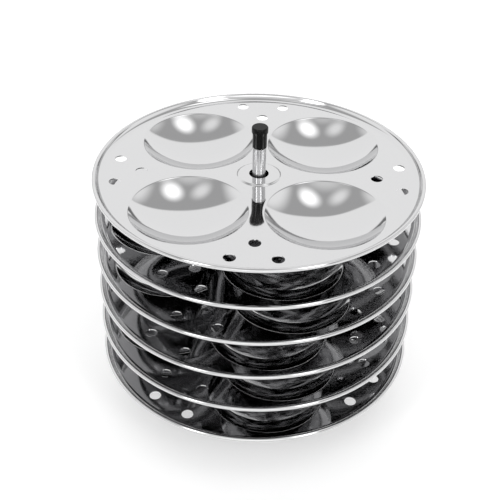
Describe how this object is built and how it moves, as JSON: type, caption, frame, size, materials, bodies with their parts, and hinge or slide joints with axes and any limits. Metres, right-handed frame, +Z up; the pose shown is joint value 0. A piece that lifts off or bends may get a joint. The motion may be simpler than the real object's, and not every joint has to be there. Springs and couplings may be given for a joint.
{
  "type": "idli steamer stand",
  "caption": "Round steel stand for steaming idlis: plates pressed with shallow bowls, stacked on spacer tubes over a central rod with a small black knob.",
  "frame": {"origin": "on the floor, on the rod's axis, under the middle of the foot", "axes": "+Z up along the rod, +X to the right and +Y away from the viewer in the picture"},
  "size_m": [0.2, 0.2, 0.1938],
  "materials": {
    "plate_steel": "polished",
    "rod_steel": "polished",
    "tube_steel": "satin",
    "foot_steel": "satin",
    "fastener_steel": "satin",
    "knob_plastic": "satin"
  },
  "bodies": {
    "stand": {"rod": "rod_steel", "knob": "knob_plastic", "foot": "foot_steel", "foot_washer": "fastener_steel", "foot_nut": "fastener_steel"},
    "tube_1": {"spacer_1": "tube_steel"},
    "plate_1": {"plate_1": "plate_steel"},
    "tube_2": {"spacer_2": "tube_steel"},
    "plate_2": {"plate_2": "plate_steel"},
    "tube_3": {"spacer_3": "tube_steel"},
    "plate_3": {"plate_3": "plate_steel"},
    "tube_4": {"spacer_4": "tube_steel"},
    "plate_4": {"plate_4": "plate_steel"},
    "tube_5": {"spacer_5": "tube_steel"},
    "plate_5": {"plate_5": "plate_steel"},
    "tube_6": {"spacer_6": "tube_steel"},
    "plate_6": {"plate_6": "plate_steel"}
  },
  "joints": [
    {"name": "lift_1", "type": "slide", "parent": "stand", "child": "tube_1", "axis": [0, 0, 1], "range_m": [0, 0.1898]},
    {"name": "turn_1", "type": "hinge", "parent": "tube_1", "child": "plate_1", "pos_m": [0, 0, 0.0342], "axis": [0, 0, 1], "continuous": true},
    {"name": "lift_2", "type": "slide", "parent": "tube_1", "child": "tube_2", "axis": [0, 0, 1], "range_m": [0, 0.1645]},
    {"name": "turn_2", "type": "hinge", "parent": "tube_2", "child": "plate_2", "pos_m": [0, 0, 0.0595], "axis": [0, 0, 1], "continuous": true},
    {"name": "lift_3", "type": "slide", "parent": "tube_2", "child": "tube_3", "axis": [0, 0, 1], "range_m": [0, 0.1392]},
    {"name": "turn_3", "type": "hinge", "parent": "tube_3", "child": "plate_3", "pos_m": [0, 0, 0.0848], "axis": [0, 0, 1], "continuous": true},
    {"name": "lift_4", "type": "slide", "parent": "tube_3", "child": "tube_4", "axis": [0, 0, 1], "range_m": [0, 0.1139]},
    {"name": "turn_4", "type": "hinge", "parent": "tube_4", "child": "plate_4", "pos_m": [0, 0, 0.1101], "axis": [0, 0, 1], "continuous": true},
    {"name": "lift_5", "type": "slide", "parent": "tube_4", "child": "tube_5", "axis": [0, 0, 1], "range_m": [0, 0.0886]},
    {"name": "turn_5", "type": "hinge", "parent": "tube_5", "child": "plate_5", "pos_m": [0, 0, 0.1354], "axis": [0, 0, 1], "continuous": true},
    {"name": "lift_6", "type": "slide", "parent": "tube_5", "child": "tube_6", "axis": [0, 0, 1], "range_m": [0, 0.0633]},
    {"name": "turn_6", "type": "hinge", "parent": "tube_6", "child": "plate_6", "pos_m": [0, 0, 0.1607], "axis": [0, 0, 1], "continuous": true}
  ]
}
